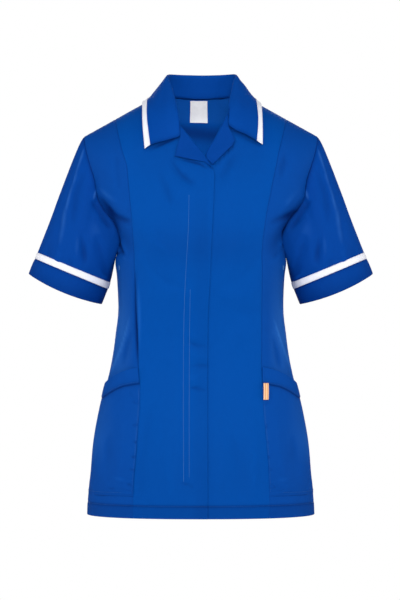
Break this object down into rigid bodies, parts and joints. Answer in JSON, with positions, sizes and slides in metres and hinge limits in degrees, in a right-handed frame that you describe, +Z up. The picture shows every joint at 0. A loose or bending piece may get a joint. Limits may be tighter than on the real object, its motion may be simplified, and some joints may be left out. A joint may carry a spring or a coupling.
{
  "type": "nurse's tunic",
  "caption": "Hip-length short-sleeved nurse's tunic in royal blue with white-taped collar and cuffs, revers, princess seams and side-front pockets, in its worn form.",
  "frame": {"origin": "on the centre line between the two shoulder seams, at the height of their neck ends, where the tunic hangs from the shoulders", "axes": "+Z up, -Y the front, +X the wearer's left"},
  "size_m": [0.5916, 0.2663, 0.7577],
  "materials": {
    "body_cloth": "matte woven polycotton, royal blue",
    "side_cloth": "the same cloth on the side fronts and pockets",
    "tape": "white woven tape",
    "label": "plain white satin label",
    "tab": "plain pale orange woven tab"
  },
  "bodies": {
    "root": {"back": "body_cloth", "front_centre_right": "body_cloth", "front_centre_left": "body_cloth", "front_side_right": "side_cloth", "front_side_left": "side_cloth", "sleeve_right": "body_cloth", "sleeve_left": "body_cloth", "cuff_right": "body_cloth", "cuff_left": "body_cloth", "collar": "body_cloth", "lapel_right": "body_cloth", "lapel_left": "body_cloth", "pocket_right": "side_cloth", "pocket_left": "side_cloth", "pocket_band_right": "side_cloth", "pocket_band_left": "side_cloth", "collar_tape": "tape", "cuff_tape_right": "tape", "cuff_tape_left": "tape", "neck_label": "label", "pocket_tab": "tab"}
  },
  "joints": []
}
